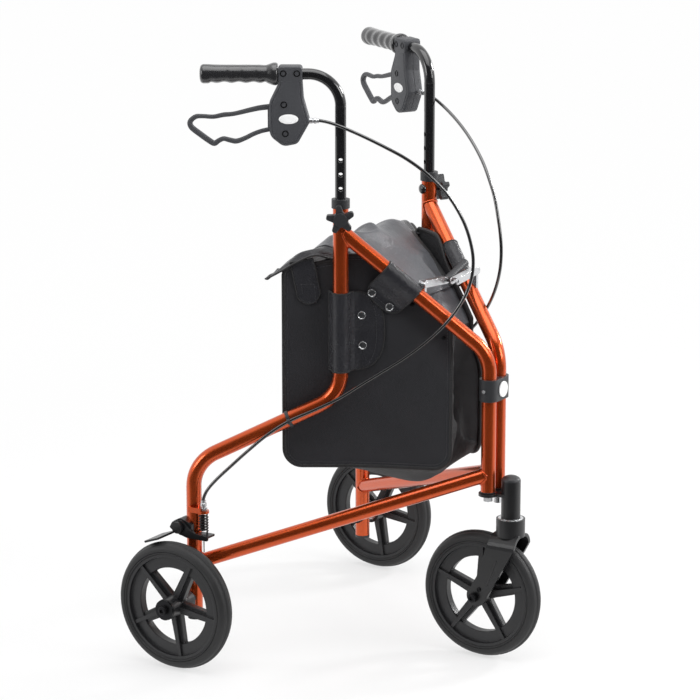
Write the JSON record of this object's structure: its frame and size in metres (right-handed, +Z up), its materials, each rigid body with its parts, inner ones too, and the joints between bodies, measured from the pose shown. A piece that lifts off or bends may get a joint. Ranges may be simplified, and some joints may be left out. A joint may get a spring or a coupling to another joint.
{
  "type": "three wheel rollator",
  "caption": "Folding walking frame on three wheels, with a swivelling front wheel, height adjustable handlebars, loop brake levers, rear tyre brakes and a soft bag between its side frames.",
  "frame": {"origin": "on the floor, midway along the length between the front and rear tyres, on the centre line", "axes": "+X forwards to the swivelling wheel, +Y to the user's left, +Z up"},
  "size_m": [0.5384, 0.628, 0.8765],
  "materials": {
    "orange_paint": "metallic orange lacquer, glossy",
    "black_paint": "satin black powder coat",
    "black_plastic": "fine moulded grain",
    "grip_rubber": "soft matt rubber",
    "tyre_rubber": "matt, dusty tread",
    "bright_steel": "zinc plated",
    "dark_steel": "black zinc",
    "chrome": "bright plated pressing",
    "cable_jacket": "smooth vinyl jacket",
    "bag_cloth": "woven nylon, plain weave",
    "bag_vinyl": "soft coated vinyl"
  },
  "bodies": {
    "front_post": {"caster_head": "black_paint", "post_cap": "black_plastic", "head_bearings": "bright_steel", "hinge_clip": "black_plastic", "hinge_bolts": "bright_steel", "bag_body": "bag_cloth"},
    "fork": {"caster_fork": "black_paint", "swivel_stem": "bright_steel", "front_axle": "dark_steel"},
    "front_wheel": {"front_rim": "black_plastic", "front_tyre": "tyre_rubber", "front_bearings": "bright_steel"},
    "right_frame": {"right_rear_tube": "orange_paint", "right_front_tube": "orange_paint", "right_lower_tube": "orange_paint", "right_tube_fittings": "black_plastic", "right_frame_hardware": "bright_steel", "right_wheel_axle": "dark_steel", "right_brake_bracket": "black_paint", "right_brake_spring": "dark_steel", "right_brake_cable": "cable_jacket", "right_bag_panel": "bag_cloth", "right_brace_bracket": "chrome"},
    "right_wheel": {"right_wheel_rim": "black_plastic", "right_tyre": "tyre_rubber", "right_wheel_bearings": "bright_steel"},
    "right_handle": {"right_handlebar": "black_paint", "right_grip": "grip_rubber", "right_brake_housing": "black_plastic", "right_lever_hardware": "dark_steel"},
    "right_lever": {"right_brake_lever": "black_plastic"},
    "right_knob": {"right_star_knob": "black_plastic"},
    "right_brake": {"right_brake_arm": "black_paint"},
    "right_brace": {"right_brace_link": "chrome", "brace_handle": "black_plastic"},
    "left_frame": {"left_rear_tube": "orange_paint", "left_front_tube": "orange_paint", "left_lower_tube": "orange_paint", "left_tube_fittings": "black_plastic", "left_frame_hardware": "bright_steel", "left_wheel_axle": "dark_steel", "left_brake_bracket": "black_paint", "left_brake_spring": "dark_steel", "left_brake_cable": "cable_jacket", "left_bag_panel": "bag_cloth", "left_brace_bracket": "chrome"},
    "left_wheel": {"left_wheel_rim": "black_plastic", "left_tyre": "tyre_rubber", "left_wheel_bearings": "bright_steel"},
    "left_handle": {"left_handlebar": "black_paint", "left_grip": "grip_rubber", "left_brake_housing": "black_plastic", "left_lever_hardware": "dark_steel"},
    "left_lever": {"left_brake_lever": "black_plastic"},
    "left_knob": {"left_star_knob": "black_plastic"},
    "left_brake": {"left_brake_arm": "black_paint"},
    "left_brace": {"left_brace_link": "chrome"},
    "lid": {"bag_lid": "bag_vinyl"}
  },
  "joints": [
    {"name": "caster_swivel", "type": "hinge", "parent": "front_post", "child": "fork", "pos_m": [0.21922, 0, 0.24], "axis": [0, 0, 1], "continuous": true},
    {"name": "front_roll", "type": "hinge", "parent": "fork", "child": "front_wheel", "pos_m": [0.17422, 0, 0.095], "axis": [0, 1, 0], "continuous": true},
    {"name": "right_fold", "type": "hinge", "parent": "front_post", "child": "right_frame", "pos_m": [0.18922, -0.014, 0.3], "axis": [0, 0, -1], "range_deg": [0, 24], "deforming": ["bag_body", "bag_lid"]},
    {"name": "right_roll", "type": "hinge", "parent": "right_frame", "child": "right_wheel", "pos_m": [-0.17422, -0.28138, 0.095], "axis": [0, 1, 0], "continuous": true},
    {"name": "right_height", "type": "slide", "parent": "right_frame", "child": "right_handle", "axis": [0, 0, 1], "range_m": [-0.082, 0.041], "deforming": ["right_brake_cable"]},
    {"name": "right_lever", "type": "hinge", "parent": "right_handle", "child": "right_lever", "pos_m": [-0.05765, -0.16233, 0.797], "axis": [-0.515, 0.8572, 0], "range_deg": [0, 18], "stiffness_Nm_per_rad": 0.6, "springref_deg": -4.58},
    {"name": "right_knob_turn", "type": "hinge", "parent": "right_frame", "child": "right_knob", "pos_m": [0.0075, -0.12319, 0.657], "axis": [-0.515, 0.8572, 0], "continuous": true},
    {"name": "right_brake_turn", "type": "hinge", "parent": "right_frame", "child": "right_brake", "pos_m": [-0.18822, -0.25088, 0.202], "axis": [0, -1, 0], "range_deg": [0, 4.5], "deforming": ["right_brake_spring"]},
    {"name": "right_brace_turn", "type": "hinge", "parent": "right_frame", "child": "right_brace", "pos_m": [0.11465, -0.05881, 0.5595], "axis": [1, 0, 0], "range_deg": [0, 68.4]},
    {"name": "left_fold", "type": "hinge", "parent": "front_post", "child": "left_frame", "pos_m": [0.18922, 0.014, 0.3], "axis": [0, 0, 1], "range_deg": [0, 24], "deforming": ["bag_body", "bag_lid"]},
    {"name": "left_roll", "type": "hinge", "parent": "left_frame", "child": "left_wheel", "pos_m": [-0.17422, 0.28138, 0.095], "axis": [0, 1, 0], "continuous": true},
    {"name": "left_height", "type": "slide", "parent": "left_frame", "child": "left_handle", "axis": [0, 0, 1], "range_m": [-0.082, 0.041], "deforming": ["left_brake_cable"]},
    {"name": "left_lever", "type": "hinge", "parent": "left_handle", "child": "left_lever", "pos_m": [-0.05765, 0.16233, 0.797], "axis": [0.515, 0.8572, 0], "range_deg": [0, 18], "stiffness_Nm_per_rad": 0.6, "springref_deg": -4.58},
    {"name": "left_knob_turn", "type": "hinge", "parent": "left_frame", "child": "left_knob", "pos_m": [0.0075, 0.12319, 0.657], "axis": [0.515, 0.8572, 0], "continuous": true},
    {"name": "left_brake_turn", "type": "hinge", "parent": "left_frame", "child": "left_brake", "pos_m": [-0.18822, 0.25088, 0.202], "axis": [0, -1, 0], "range_deg": [0, 4.5], "deforming": ["left_brake_spring"]},
    {"name": "left_brace_turn", "type": "hinge", "parent": "left_frame", "child": "left_brace", "pos_m": [0.11465, 0.05881, 0.5595], "axis": [-1, 0, 0], "range_deg": [0, 68.4]},
    {"name": "lid_lift", "type": "hinge", "parent": "front_post", "child": "lid", "pos_m": [0.09053, 0, 0.549], "axis": [0, 1, 0], "range_deg": [0, 24]}
  ],
  "couplings": [
    {"joint": "right_brake_turn", "follows": "right_lever", "ratio": 0.25},
    {"joint": "right_brace_turn", "follows": "right_fold", "ratio": 2.85},
    {"joint": "left_brake_turn", "follows": "left_lever", "ratio": 0.25},
    {"joint": "left_brace_turn", "follows": "right_fold", "ratio": 2.85},
    {"joint": "left_fold", "follows": "right_fold", "ratio": 1}
  ]
}
